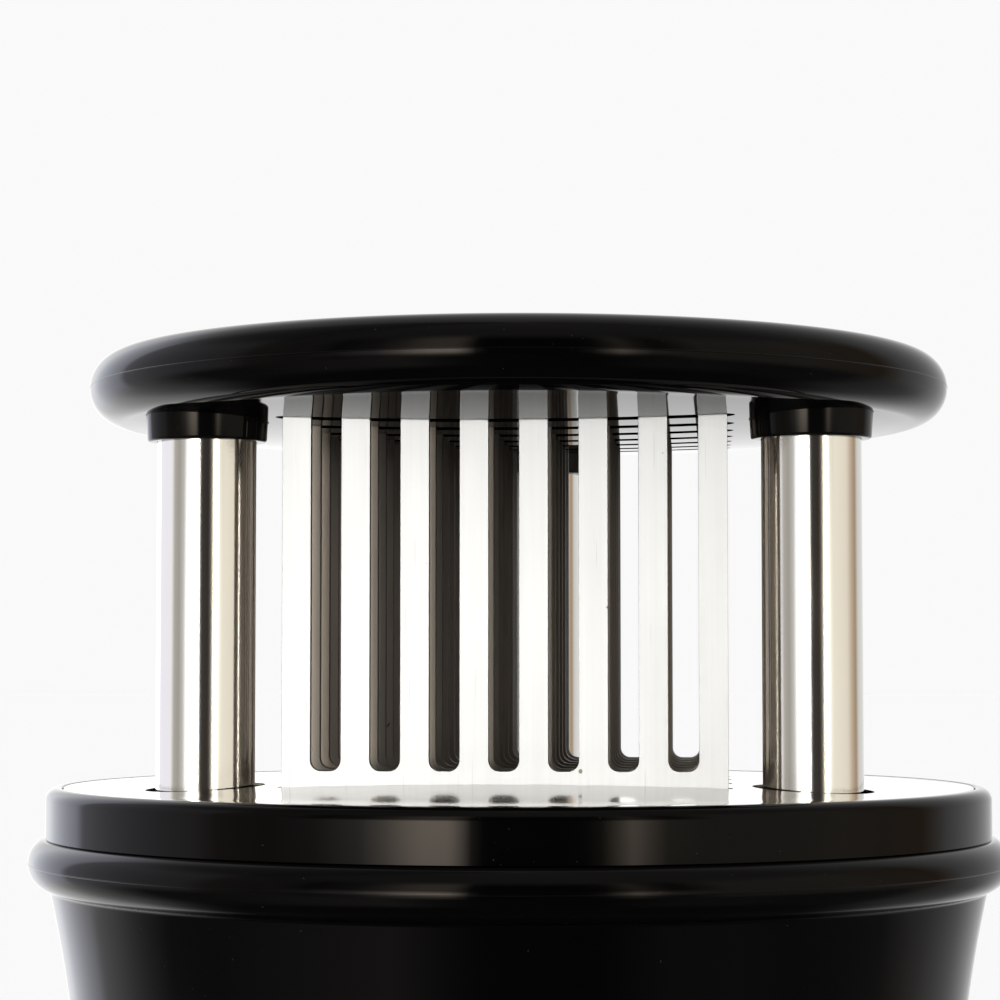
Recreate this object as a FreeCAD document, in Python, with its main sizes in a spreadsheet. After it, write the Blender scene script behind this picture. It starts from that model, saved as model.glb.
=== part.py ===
"""Blade meat tenderizer: a pot-shaped handle with seven fixed blade combs, and a slotted
guard disc that slides over the blades on three sprung tubes.

Frame: millimetres, +Z up. The tool stands on the flat end of its handle, blades pointing up.
The origin is the centre of that flat end, +X runs along the combs, and the lone tube is at +Y.
"""
import FreeCAD, Part
import math
import os
import re
import Sketcher
from FreeCAD import Placement, Rotation, Vector

doc = FreeCAD.newDocument("BladeTenderizer")

# ---------------------------------------------------------------- sizes
# One row of the sheet each: alias, size in mm (degrees where the name ends in _angle), meaning.
SIZES = [
    # handle
    ("rim_height", 70.0, "top of the head's rim above the flat end of the handle"),
    ("rim_overhang", 4.29, "outside of the head's band, past the guard's edge"),
    ("band_height", 5.4, "height of the band above the seam with the handle"),
    ("rim_round", 1.3, "rounding of the rim's top edge"),
    ("bead_overhang", 1.8, "handle's bead past the head's band"),
    ("bead_round", 2.85, "half-round section of the bead"),
    ("bead_tuck", 0.4, "what the seam cuts off the bead's half round"),
    ("grip_top_step", 0.5, "grip inside the band where it leaves the bead"),
    ("grip_foot_step", 2.55, "grip inside the band where the foot's rounding starts"),
    ("grip_curve", 135.0, "radius of the grip's waisted side"),
    ("foot_round", 9.5, "rounding between the grip and the flat end"),
    ("wall", 2.6, "wall of the handle moulding"),
    ("bead_fillet", 0.5, "fillet where the grip meets the bead"),
    ("mouth_wall", 3.45, "bore of the handle's mouth inside the band's outer face"),
    ("spigot_length", 5.6, "reach of the head's spigot into the mouth"),
    ("spigot_wall", 2.4, "wall of the spigot"),
    # head and cover plate
    ("plate_rise", 1.3, "crown of the cover plate above the rim"),
    ("rim_land", 1.75, "rim round the cover plate's recess"),
    ("plate_thickness", 1.0, "sheet of the cover plate"),
    ("plate_curve", 816.0, "radius of the cover plate's crown"),
    ("deck_thickness", 6.0, "deck that carries bushes and blades"),
    # combs
    ("comb_count", 7, "blade combs, one behind the other"),
    ("comb_spacing", 7.46, "distance from comb to comb"),
    ("comb_thickness", 1.0, "sheet of a comb"),
    ("tine_count", 8, "blades on a comb"),
    ("tine_spacing", 6.0, "distance from blade to blade"),
    ("tine_width", 2.92, "width of one blade"),
    ("web_rise", 0.95, "foot of the gaps between blades above the cover plate"),
    ("gap_round", 1.1, "corners of the gaps' feet"),
    ("tip_recess", 1.7, "blade tips inside the guard's outer face at rest"),
    ("point_length", 2.6, "pointed end of a blade"),
    ("grind_length", 3.4, "ground bevel at the end of a blade"),
    ("edge_thickness", 0.12, "what the grinding leaves at the very tip"),
    # guard
    ("guard_gap", 35.84, "cover plate's crown to the guard's inner crown, at rest"),
    ("guard_overhang", 10.34, "guard's edge past the circle of the tubes"),
    ("guard_edge", 7.36, "thickness of the guard's half-round edge"),
    ("guard_bulge", 1.5, "crown of the guard's inner face"),
    ("press_travel", 34.5, "stroke of the guard"),
    # tubes and their fittings
    ("tube_clearance", 8.56, "middle of a front tube beside the combs' ends"),
    ("tube_radius", 5.1, "outside of a guide tube"),
    ("tube_wall", 0.9, "wall of a guide tube"),
    ("tube_socket", 3.3, "depth of a tube's socket in the guard"),
    ("collar_wall", 1.15, "wall of a collar"),
    ("collar_drop", 2.4, "height of a collar below the guard's inner face"),
    ("collar_seat", 0.5, "depth of a collar's seat in the guard"),
    ("bush_wall", 0.98, "wall of a guide bush"),
    ("bush_length", 18.3, "length of a guide bush"),
    ("flange_width", 1.35, "flange of a guide bush, past its barrel"),
    ("flange_thickness", 1.0, "thickness of that flange"),
    ("stop_wall", 1.45, "wall of a stop ring"),
    ("stop_height", 5.0, "height of a stop ring"),
    ("stop_lip", 1.0, "lip of the stop ring under the tube's end"),
    ("collar_chamfer", 0.3, "chamfer round the collar's foot"),
    ("collar_draft", 0.15, "taper of a collar towards its foot"),
    ("stop_chamfer", 0.8, "chamfer round the stop ring's foot"),
    ("insert_length", 10.0, "threaded insert in the tube's top"),
    ("spring_boss_wall", 2.1, "wall of the boss round a spring post"),
    ("press_room", 2.0, "stop ring above that boss with the guard pressed home"),
    ("post_length", 47.5, "spring post from its socket to the spring's seat"),
    ("post_socket", 4.5, "depth of the post in its boss"),
    ("pip_length", 4.0, "pip on the post that centres the spring"),
    ("wire_size", 0.65, "wire of a return spring"),
    ("spring_turns", 9, "turns of a return spring"),
    # blade carrier
    ("carrier_wall", 1.8, "wall of the carrier block round the comb roots"),
    ("root_depth", 8.0, "depth of a comb's root in the carrier"),
    ("carrier_floor", 1.5, "carrier under the comb roots"),
    ("rod_radius", 1.5, "rod through the comb roots"),
    ("rod_offset", 18.0, "rods from the middle plane"),
    ("rod_recess", 0.5, "rod ends inside the carrier's faces"),
    # screws
    ("screw_radius", 1.5, "shank of a carrier screw"),
    ("screw_head_radius", 2.8, "head of a carrier screw"),
    ("screw_head_height", 1.9, "height of that head"),
    ("screw_head_round", 0.7, "chamfer of that head"),
    ("screw_cover", 1.0, "deck left above a carrier screw"),
    ("screw_spread", 6.0, "carrier screws from the middle plane"),
    ("column_inset", 9.0, "deck screws inside the bore of the mouth"),
    ("column_wall", 2.4, "wall of the column round a deck screw"),
    ("column_rib", 2.0, "rib between a column and the handle's wall"),
    ("rib_bite", 0.4, "reach of that rib into the wall"),
    ("rib_top", 45.0, "top of that rib"),
    ("deck_screw_radius", 1.75, "shank of a deck screw"),
    ("deck_screw_length", 16.0, "deck screw under its head"),
    ("deck_head_radius", 3.2, "head of a deck screw"),
    ("deck_head_height", 2.4, "height of that head"),
    ("deck_head_round", 0.8, "chamfer of that head"),
    ("guard_screw_radius", 1.6, "shank of a guard screw"),
    ("guard_screw_length", 12.0, "guard screw with its head"),
    ("guard_head_radius", 3.8, "countersunk head of a guard screw"),
    ("guard_head_height", 2.3, "height of that head"),
    ("screw_recess", 0.1, "guard screw below the guard's outer face"),
    # clearances
    ("running_gap", 0.07, "tube in its bush"),
    ("fit_gap", 0.05, "pieces that are pushed together"),
    ("slide_in_gap", 0.15, "comb in the head's slots, and screws in their holes"),
    ("plate_edge_gap", 0.1, "cover plate in the rim's recess"),
    ("plate_slot_gap", 0.42, "cover plate's slots past the comb's ends"),
    ("plate_tube_gap", 1.04, "cover plate's holes round the tubes"),
    ("guard_slot_gap", 0.8, "guard's slots beside the combs, and past their ends"),
    ("bore_gap", 0.25, "spring and post in the tube's bore"),
    ("pip_gap", 0.8, "pip inside the spring"),
]
TUBE_ANGLES = [210, 330, 90]
COLUMN_ANGLES = [270, 30, 150]

sheet = doc.addObject("Spreadsheet::Sheet", "sizes")
for row, (alias, size, meaning) in enumerate(SIZES, start=1):
    sheet.set(f"A{row}", meaning)
    sheet.set(f"B{row}", str(size))
    sheet.setAlias(f"B{row}", alias)
doc.recompute()
ALIAS = re.compile(r"\b(" + "|".join(alias for alias, _, _ in SIZES) + r")\b")

# Levels and radii that follow from the sizes, as expressions in them.
SEAM = "(rim_height - band_height)"
COMB_WIDTH = "((tine_count - 1) * tine_spacing + tine_width)"
COMB_SPAN = "((comb_count - 1) * comb_spacing)"
TUBE_CIRCLE = f"(({COMB_WIDTH} / 2 + tube_clearance) / cos(30))"
GUARD_RADIUS = f"({TUBE_CIRCLE} + guard_overhang)"
RIM_RADIUS = f"({GUARD_RADIUS} + rim_overhang)"
PLATE_RECESS = f"({RIM_RADIUS} - rim_land)"
PLATE_RADIUS = f"({PLATE_RECESS} - plate_edge_gap)"
MOUTH_RADIUS = f"({RIM_RADIUS} - mouth_wall)"
COLUMN_CIRCLE = f"({MOUTH_RADIUS} - column_inset)"
BEAD_DROP = "(bead_round - bead_tuck)"
BEAD_LEVEL = f"({SEAM} - {BEAD_DROP})"
BEAD_CENTRE = f"({RIM_RADIUS} + bead_overhang - bead_round)"
BEAD_TOP = f"({BEAD_CENTRE} + sqrt(bead_round^2 - {BEAD_DROP}^2))"
GRIP_TOP_RADIUS = f"({RIM_RADIUS} - grip_top_step)"
GRIP_TOP = f"({BEAD_LEVEL} - sqrt(bead_round^2 - ({GRIP_TOP_RADIUS} - {BEAD_CENTRE})^2))"
GRIP_FOOT_RADIUS = f"({RIM_RADIUS} - grip_foot_step)"
SPIGOT_FOOT = f"({SEAM} - spigot_length)"
SPIGOT_RADIUS = f"({MOUTH_RADIUS} - fit_gap)"
CROWN = "(rim_height + plate_rise)"
PLATE_SAG = f"(plate_curve - sqrt(plate_curve^2 - {PLATE_RADIUS}^2))"
DECK_TOP = f"({CROWN} - {PLATE_SAG} - plate_thickness)"
DECK_FOOT = f"({DECK_TOP} - deck_thickness)"
CARRIER_FOOT = f"({DECK_FOOT} - root_depth - carrier_floor)"
CARRIER_WIDTH = f"({COMB_WIDTH} + 2 * carrier_wall)"
CARRIER_DEPTH = f"({COMB_SPAN} + comb_thickness + 2 * carrier_wall)"
GUARD_CROWN = f"({CROWN} + guard_gap)"
GUARD_EDGE_FOOT = f"({GUARD_CROWN} + guard_bulge)"
GUARD_TOP = f"({GUARD_EDGE_FOOT} + guard_edge)"
GUARD_FLAT = f"({GUARD_RADIUS} - guard_edge / 2)"
GUARD_CURVE = f"(({GUARD_FLAT}^2 + guard_bulge^2) / (2 * guard_bulge))"
GUARD_AT_TUBE = f"({GUARD_CROWN} + {TUBE_CIRCLE}^2 / (2 * {GUARD_CURVE}))"
TUBE_TOP = f"({GUARD_AT_TUBE} + tube_socket)"
BUSH_TOP = DECK_TOP
BUSH_FOOT = f"({BUSH_TOP} - bush_length)"
STOP_FOOT = f"({BUSH_FOOT} - stop_height)"
TUBE_FOOT = f"({STOP_FOOT} + stop_lip)"
TUBE_BORE = "(tube_radius - tube_wall)"
COLLAR_RADIUS = "(tube_radius + fit_gap + collar_wall)"
BUSH_BORE = "(tube_radius + running_gap)"
BUSH_RADIUS = f"({BUSH_BORE} + bush_wall)"
STOP_RADIUS = "(tube_radius + fit_gap + stop_wall)"
POST_RADIUS = f"({TUBE_BORE} - bore_gap)"
SPRING_BORE = f"({POST_RADIUS} - wire_size)"
SPRING_BOSS_TOP = f"({STOP_FOOT} - press_travel - press_room)"
POST_FOOT = f"({SPRING_BOSS_TOP} - post_socket)"
SPRING_SEAT = f"({POST_FOOT} + post_length)"
INSERT_FOOT = f"({TUBE_TOP} - insert_length)"
COLLAR_FOOT = f"({GUARD_AT_TUBE} - collar_drop)"
COLLAR_TOP = f"({GUARD_AT_TUBE} + collar_seat)"
TIP = f"({GUARD_TOP} - tip_recess)"
GAP_FOOT = f"({CROWN} + web_rise)"
ROOT_FOOT = f"({DECK_FOOT} - root_depth)"
ROD_LEVEL = f"({DECK_FOOT} - root_depth / 2)"


def value(text):
    """The number that an expression in the sizes has now."""
    return float(sheet.evalExpression(text))


def linked(text):
    """The same expression, as an object of the document has to write it."""
    return ALIAS.sub(r"sizes.\1", text)


def bind(feature, **expressions):
    for name, text in expressions.items():
        feature.setExpression(name, linked(text))


# ---------------------------------------------------------------- sketch helpers
def new_body(label):
    body = doc.addObject("PartDesign::Body", "body_" + label)
    body.Label = label
    return body


def new_sketch(body, name, role="XZ_Plane", level=None):
    """A sketch on one of the body's origin planes, lifted by level along its normal."""
    sketch = body.newObject("Sketcher::SketchObject", name)
    plane = next(item for item in body.Origin.OriginFeatures if item.Role == role)
    sketch.AttachmentSupport = [(plane, "")]
    sketch.MapMode = "FlatFace"
    if level is not None:
        sketch.setExpression("AttachmentOffset.Base.z", linked(level))
    return sketch


def pin(sketch, where, x, y):
    """Holds a point of the sketch at (x, y), two expressions measured from its origin."""
    for kind, axis_line, text in (("DistanceX", -2, x), ("DistanceY", -1, y)):
        if text == "0":
            sketch.addConstraint(Sketcher.Constraint("PointOnObject", *where, axis_line))
            continue
        size = value(text)
        if size < 0:
            constraint = Sketcher.Constraint(kind, *where, -1, 1, -size)
            text = f"-({text})"
        else:
            constraint = Sketcher.Constraint(kind, -1, 1, *where, size)
        index = sketch.addConstraint(constraint)
        sketch.setExpression(f"Constraints[{index}]", linked(text))


def arc_between(start, end, radius, turn):
    """Arc of a circle from start to end that turns left (+1) or right (-1), and is it reversed."""
    chord = end - start
    middle = (start + end) * 0.5
    normal = Vector(-chord.y, chord.x, 0).normalize()
    centre = middle + normal * (turn * math.sqrt(max(radius**2 - chord.Length**2 / 4, 0)))
    from_centre = [math.atan2(point.y - centre.y, point.x - centre.x) for point in (start, end)]
    if turn < 0:
        from_centre.reverse()
    return Part.ArcOfCircle(Part.Circle(centre, Vector(0, 0, 1), radius), *from_centre)


def outline(sketch, corners):
    """A closed outline. A corner is (x, y) or (x, y, radius, turn) where an arc starts there."""
    points = [Vector(value(corner[0]), value(corner[1]), 0) for corner in corners]
    starts = []
    ends = []
    for number, corner in enumerate(corners):
        start = points[number]
        end = points[(number + 1) % len(points)]
        if len(corner) == 2:
            edge = sketch.addGeometry(Part.LineSegment(start, end))
            starts.append((edge, 1))
            ends.append((edge, 2))
            continue
        radius, turn = corner[2:]
        edge = sketch.addGeometry(arc_between(start, end, value(radius), turn))
        starts.append((edge, 1 if turn > 0 else 2))
        ends.append((edge, 2 if turn > 0 else 1))
        index = sketch.addConstraint(Sketcher.Constraint("Radius", edge, value(radius)))
        sketch.setExpression(f"Constraints[{index}]", linked(radius))
    for number, corner in enumerate(corners):
        pin(sketch, starts[number], corner[0], corner[1])
        sketch.addConstraint(Sketcher.Constraint("Coincident", *ends[number - 1], *starts[number]))


def ring(sketch, x, y, radius):
    """A circle about (x, y)."""
    edge = sketch.addGeometry(Part.Circle(Vector(value(x), value(y), 0), Vector(0, 0, 1), value(radius)))
    pin(sketch, (edge, 3), x, y)
    index = sketch.addConstraint(Sketcher.Constraint("Radius", edge, value(radius)))
    sketch.setExpression(f"Constraints[{index}]", linked(radius))


def rectangle(sketch, width, depth, y="0"):
    """A rectangle centred on x = 0, with its middle at y."""
    left, right = f"-({width}) / 2", f"({width}) / 2"
    near, far = f"({y}) - ({depth}) / 2", f"({y}) + ({depth}) / 2"
    outline(sketch, [(left, near), (right, near), (right, far), (left, far)])


def polar(radius, angle):
    """Expressions for the point on a circle at a fixed angle."""
    return f"{radius} * cos({angle})", f"{radius} * sin({angle})"


# ---------------------------------------------------------------- feature helpers
def revolve(body, sketch):
    feature = body.newObject("PartDesign::Revolution", sketch.Name + "_turn")
    feature.Profile = sketch
    feature.ReferenceAxis = (sketch, ["V_Axis"])
    feature.Angle = 360
    return feature


def pad(body, sketch, length, both_ways=False, downwards=False):
    feature = body.newObject("PartDesign::Pad", sketch.Name + "_pad")
    feature.Profile = sketch
    feature.SideType = "Symmetric" if both_ways else "One side"
    feature.Reversed = downwards
    bind(feature, Length=length)
    return feature


def pocket(body, sketch, length, both_ways=False, upwards=False):
    """Cuts the sketch down from its plane, or up from it, or the length shared both ways."""
    feature = body.newObject("PartDesign::Pocket", sketch.Name + "_cut")
    feature.Profile = sketch
    feature.SideType = "Symmetric" if both_ways else "One side"
    feature.Reversed = upwards
    bind(feature, Length=length)
    return feature


def soften(body, feature, radius, level, fillet):
    """Fillets the round edge that a feature has at a radius and a level."""
    doc.recompute()
    for number, edge in enumerate(feature.Shape.Edges, start=1):
        if not isinstance(edge.Curve, Part.Circle):
            continue
        off_centre = (edge.Curve.Center - Vector(0, 0, value(level))).Length
        off_radius = abs(edge.Curve.Radius - value(radius))
        if round(off_centre + off_radius, 3) == 0:
            rounded = body.newObject("PartDesign::Fillet", feature.Name + "_fillet")
            rounded.Base = (feature, [f"Edge{number}"])
            bind(rounded, Radius=fillet)
            return rounded
    raise RuntimeError(f"{feature.Label} has no edge to fillet")


def repeat(body, feature, along, pitch, count):
    """Repeats a feature in a straight row; count is an alias or an expression."""
    pattern = body.newObject("PartDesign::LinearPattern", feature.Name + "_row")
    pattern.Originals = [feature]
    pattern.Direction = (feature.Profile[0], [along])
    bind(pattern, Length=f"({pitch}) * (({count}) - 1)", Occurrences=count)
    body.Tip = pattern
    return pattern


def around(body, feature, count=3):
    """Repeats a feature evenly round the body's axis."""
    pattern = body.newObject("PartDesign::PolarPattern", feature.Name + "_round")
    pattern.Originals = [feature]
    pattern.Axis = (feature.Profile[0], ["N_Axis"])
    pattern.Angle = 360
    pattern.Occurrences = count
    body.Tip = pattern
    return pattern


def turned(label, corners):
    """A body turned from one outline of (radius, height) corners."""
    body = new_body(label)
    sketch = new_sketch(body, label + "_section")
    outline(sketch, corners)
    revolve(body, sketch)
    return body


def place(body, x="0", y="0"):
    """Stands a body at (x, y) on the floor of the frame."""
    bind(body, **{"Placement.Base.x": x, "Placement.Base.y": y})
    return body


def group(label, tools):
    """Separate like solids in one node."""
    fused = doc.addObject("Part::MultiFuse", label)
    fused.Label = label
    fused.Shapes = tools
    return fused


# ---------------------------------------------------------------- handle shell
# One moulding: half-round bead at the mouth, waisted grip, rounded foot and flat end, with
# bosses inside for the spring posts and columns for the deck screws.
def make_handle_shell():
    body = new_body("handle_shell")
    section = new_sketch(body, "shell_section")
    outline(section, [
        ("0", "0"),
        (f"{GRIP_FOOT_RADIUS} - foot_round", "0", "foot_round", 1),
        (GRIP_FOOT_RADIUS, "foot_round", "grip_curve", -1),
        (GRIP_TOP_RADIUS, GRIP_TOP, "bead_round", 1),
        (BEAD_TOP, SEAM),
        (MOUTH_RADIUS, SEAM),
        (MOUTH_RADIUS, SPIGOT_FOOT, "grip_curve + wall", 1),
        (f"{GRIP_FOOT_RADIUS} - wall", "foot_round", "foot_round - wall", -1),
        (f"{GRIP_FOOT_RADIUS} - foot_round", "wall"),
        ("0", "wall"),
    ])
    soften(body, revolve(body, section), GRIP_TOP_RADIUS, GRIP_TOP, "bead_fillet")

    boss = new_sketch(body, "spring_boss", "XY_Plane", "wall / 2")
    ring(boss, *polar(TUBE_CIRCLE, TUBE_ANGLES[0]), f"{POST_RADIUS} + fit_gap + spring_boss_wall")
    around(body, pad(body, boss, f"{SPRING_BOSS_TOP} - wall / 2"))

    socket = new_sketch(body, "post_seat", "XY_Plane", SPRING_BOSS_TOP)
    ring(socket, *polar(TUBE_CIRCLE, TUBE_ANGLES[0]), f"{POST_RADIUS} + fit_gap")
    around(body, pocket(body, socket, "post_socket"))

    rib = new_sketch(body, "column_rib", "XY_Plane", "wall / 2")
    rib_end = f"({GRIP_FOOT_RADIUS} - wall + rib_bite)"
    rectangle(rib, "column_rib", f"{rib_end} - {COLUMN_CIRCLE}", f"-({rib_end} + {COLUMN_CIRCLE}) / 2")
    around(body, pad(body, rib, "rib_top - wall / 2"))

    column = new_sketch(body, "screw_column", "XY_Plane", "wall / 2")
    ring(column, *polar(COLUMN_CIRCLE, COLUMN_ANGLES[0]), "deck_screw_radius + fit_gap + column_wall")
    around(body, pad(body, column, f"{DECK_FOOT} - wall / 2"))

    drilling = new_sketch(body, "column_drilling", "XY_Plane", DECK_FOOT)
    ring(drilling, *polar(COLUMN_CIRCLE, COLUMN_ANGLES[0]), "deck_screw_radius + fit_gap")
    around(body, pocket(body, drilling, "deck_screw_length"))
    return body


# ---------------------------------------------------------------- head ring
# Band and rim land outside, recess for the cover plate, a deck with the comb slots, the bush
# seats and the screw holes, and a spigot that centres it in the handle's mouth.
def make_head_ring():
    body = new_body("head_ring")
    section = new_sketch(body, "head_section")
    outline(section, [
        ("0", DECK_FOOT),
        (f"{SPIGOT_RADIUS} - spigot_wall", DECK_FOOT),
        (f"{SPIGOT_RADIUS} - spigot_wall", SPIGOT_FOOT),
        (SPIGOT_RADIUS, SPIGOT_FOOT),
        (SPIGOT_RADIUS, SEAM),
        (RIM_RADIUS, SEAM),
        (RIM_RADIUS, "rim_height - rim_round", "rim_round", 1),
        (f"{RIM_RADIUS} - rim_round", "rim_height"),
        (PLATE_RECESS, "rim_height"),
        (PLATE_RECESS, DECK_TOP),
        ("0", DECK_TOP),
    ])
    revolve(body, section)

    slot = new_sketch(body, "comb_slot", "XY_Plane", DECK_TOP)
    rectangle(slot, f"{COMB_WIDTH} + 2 * slide_in_gap", "comb_thickness + 2 * slide_in_gap",
              f"-{COMB_SPAN} / 2")
    repeat(body, pocket(body, slot, "deck_thickness"), "V_Axis", "comb_spacing", "comb_count")

    bore = new_sketch(body, "bush_bore", "XY_Plane", DECK_TOP)
    ring(bore, *polar(TUBE_CIRCLE, TUBE_ANGLES[0]), f"{BUSH_RADIUS} + fit_gap")
    around(body, pocket(body, bore, "deck_thickness"))

    seat = new_sketch(body, "flange_seat", "XY_Plane", DECK_TOP)
    ring(seat, *polar(TUBE_CIRCLE, TUBE_ANGLES[0]), f"{BUSH_RADIUS} + flange_width + fit_gap")
    around(body, pocket(body, seat, "flange_thickness"))

    drilling = new_sketch(body, "deck_drilling", "XY_Plane", DECK_TOP)
    ring(drilling, *polar(COLUMN_CIRCLE, COLUMN_ANGLES[0]), "deck_screw_radius + slide_in_gap")
    around(body, pocket(body, drilling, "deck_thickness"))

    head = new_sketch(body, "head_recess", "XY_Plane", DECK_TOP)
    ring(head, *polar(COLUMN_CIRCLE, COLUMN_ANGLES[0]), "deck_head_radius + slide_in_gap")
    around(body, pocket(body, head, "deck_head_height"))

    anchor = new_sketch(body, "carrier_anchor", "XY_Plane", DECK_FOOT)
    for side in (-1, 1):
        for end in (-1, 1):
            ring(anchor, f"{side} * screw_spread", f"{end} * 1.5 * comb_spacing", "screw_radius + fit_gap")
    pocket(body, anchor, "deck_thickness", upwards=True)
    return body


# ---------------------------------------------------------------- cover plate
# Stainless sheet pressed to a shallow crown, punched for the combs and the tubes.
def make_cover_plate():
    body = new_body("cover_plate")
    section = new_sketch(body, "plate_section")
    outline(section, [
        ("0", f"{CROWN} - plate_thickness", "plate_curve", -1),
        (PLATE_RADIUS, DECK_TOP),
        (PLATE_RADIUS, f"{DECK_TOP} + plate_thickness", "plate_curve", 1),
        ("0", CROWN),
    ])
    revolve(body, section)

    slot = new_sketch(body, "plate_slot", "XY_Plane", CROWN)
    rectangle(slot, f"{COMB_WIDTH} + 2 * plate_slot_gap", "comb_thickness + 2 * slide_in_gap",
              f"-{COMB_SPAN} / 2")
    cut = pocket(body, slot, "3 * plate_thickness")
    repeat(body, cut, "V_Axis", "comb_spacing", "comb_count")

    hole = new_sketch(body, "tube_hole", "XY_Plane", CROWN)
    ring(hole, *polar(TUBE_CIRCLE, TUBE_ANGLES[0]), "tube_radius + plate_tube_gap")
    around(body, pocket(body, hole, "3 * plate_thickness"))
    return body


# ---------------------------------------------------------------- blade combs
# Each comb is stamped from stainless sheet: a root that stands in the carrier, and blades with
# round-footed gaps between them, pointed and ground to a bevel on one face.
def make_comb(number):
    body = new_body(f"comb_{number}")
    blank = new_sketch(body, f"comb_{number}_blank")
    left, right = f"-{COMB_WIDTH} / 2", f"{COMB_WIDTH} / 2"
    outline(blank, [(left, ROOT_FOOT), (right, ROOT_FOOT), (right, TIP), (left, TIP)])
    pad(body, blank, "comb_thickness", both_ways=True)

    first_gap = "(-(tine_count - 2) * tine_spacing / 2)"
    half_gap = "((tine_spacing - tine_width) / 2)"
    gap = new_sketch(body, f"comb_{number}_gap")
    outline(gap, [
        (f"{first_gap} - {half_gap}", f"{GAP_FOOT} + gap_round", "gap_round", 1),
        (f"{first_gap} - {half_gap} + gap_round", GAP_FOOT),
        (f"{first_gap} + {half_gap} - gap_round", GAP_FOOT, "gap_round", 1),
        (f"{first_gap} + {half_gap}", f"{GAP_FOOT} + gap_round"),
        (f"{first_gap} + {half_gap}", f"{TIP} + tine_width"),
        (f"{first_gap} - {half_gap}", f"{TIP} + tine_width"),
    ])
    cut = pocket(body, gap, "2 * comb_thickness", both_ways=True)
    repeat(body, cut, "H_Axis", "tine_spacing", "tine_count - 1")

    notch = new_sketch(body, f"comb_{number}_points")
    notch_middle = "(-tine_count * tine_spacing / 2)"
    outline(notch, [
        (f"{notch_middle} - {half_gap}", f"{TIP} - point_length"),
        (f"{notch_middle} + {half_gap}", f"{TIP} - point_length"),
        (f"{notch_middle} + tine_spacing / 2", TIP),
        (f"{notch_middle} + tine_spacing / 2", f"{TIP} + tine_width"),
        (f"{notch_middle} - tine_spacing / 2", f"{TIP} + tine_width"),
        (f"{notch_middle} - tine_spacing / 2", TIP),
    ])
    cut = pocket(body, notch, "2 * comb_thickness", both_ways=True)
    repeat(body, cut, "H_Axis", "tine_spacing", "tine_count + 1")

    grind = new_sketch(body, f"comb_{number}_grind", "YZ_Plane")
    outline(grind, [
        ("comb_thickness / 2", f"{TIP} - grind_length"),
        ("comb_thickness", f"{TIP} - grind_length"),
        ("comb_thickness", f"{TIP} + comb_thickness"),
        ("edge_thickness - comb_thickness / 2", f"{TIP} + comb_thickness"),
        ("edge_thickness - comb_thickness / 2", TIP),
    ])
    pocket(body, grind, f"{COMB_WIDTH} + tine_width", both_ways=True)

    rods = new_sketch(body, f"comb_{number}_rods")
    for side in (-1, 1):
        ring(rods, f"{side} * rod_offset", ROD_LEVEL, "rod_radius + fit_gap")
    pocket(body, rods, "2 * comb_thickness", both_ways=True)
    return place(body, y=f"({number} - (comb_count + 1) / 2) * comb_spacing")


# ---------------------------------------------------------------- blade carrier
# Block under the deck with a groove for each comb root and two bores for the rods.
def make_blade_carrier():
    body = new_body("blade_carrier")
    block = new_sketch(body, "carrier_block", "XY_Plane", CARRIER_FOOT)
    rectangle(block, CARRIER_WIDTH, CARRIER_DEPTH)
    pad(body, block, "carrier_floor + root_depth")

    groove = new_sketch(body, "root_groove", "XY_Plane", DECK_FOOT)
    rectangle(groove, f"{COMB_WIDTH} + 2 * slide_in_gap", "comb_thickness + 2 * fit_gap",
              f"-{COMB_SPAN} / 2")
    repeat(body, pocket(body, groove, "root_depth"), "V_Axis", "comb_spacing", "comb_count")

    bores = new_sketch(body, "rod_bores")
    for side in (-1, 1):
        ring(bores, f"{side} * rod_offset", ROD_LEVEL, "rod_radius + fit_gap")
    pocket(body, bores, f"{CARRIER_DEPTH} + carrier_wall", both_ways=True)

    drilling = new_sketch(body, "carrier_drilling", "XY_Plane", DECK_FOOT)
    for side in (-1, 1):
        for end in (-1, 1):
            ring(drilling, f"{side} * screw_spread", f"{end} * 1.5 * comb_spacing",
                 "screw_radius + slide_in_gap")
    pocket(body, drilling, "carrier_floor + root_depth")
    return body


def make_carrier_rod(label, side):
    body = new_body(label)
    section = new_sketch(body, label + "_section")
    ring(section, f"{side} * rod_offset", ROD_LEVEL, "rod_radius")
    pad(body, section, f"{CARRIER_DEPTH} - 2 * rod_recess", both_ways=True)
    return body


def make_carrier_screws():
    screws = []
    for number, (side, end) in enumerate([(-1, -1), (1, -1), (1, 1), (-1, 1)], start=1):
        screw = turned(f"carrier_screw_{number}", [
            ("0", f"{CARRIER_FOOT} - screw_head_height"),
            ("screw_head_radius - screw_head_round", f"{CARRIER_FOOT} - screw_head_height"),
            ("screw_head_radius", f"{CARRIER_FOOT} - screw_head_height + screw_head_round"),
            ("screw_head_radius", CARRIER_FOOT),
            ("screw_radius", CARRIER_FOOT),
            ("screw_radius", f"{DECK_TOP} - screw_cover"),
            ("0", f"{DECK_TOP} - screw_cover"),
        ])
        screws.append(place(screw, f"{side} * screw_spread", f"{end} * 1.5 * comb_spacing"))
    return group("carrier_screws", screws)


def make_deck_screws():
    screws = []
    for number, angle in enumerate(COLUMN_ANGLES, start=1):
        shoulder = f"({DECK_TOP} - deck_head_height)"
        screw = turned(f"deck_screw_{number}", [
            ("0", f"{shoulder} - deck_screw_length"),
            ("deck_screw_radius", f"{shoulder} - deck_screw_length"),
            ("deck_screw_radius", shoulder),
            ("deck_head_radius", shoulder),
            ("deck_head_radius", f"{DECK_TOP} - deck_head_round"),
            ("deck_head_radius - deck_head_round", DECK_TOP),
            ("0", DECK_TOP),
        ])
        screws.append(place(screw, *polar(COLUMN_CIRCLE, angle)))
    return group("deck_screws", screws)


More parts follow.
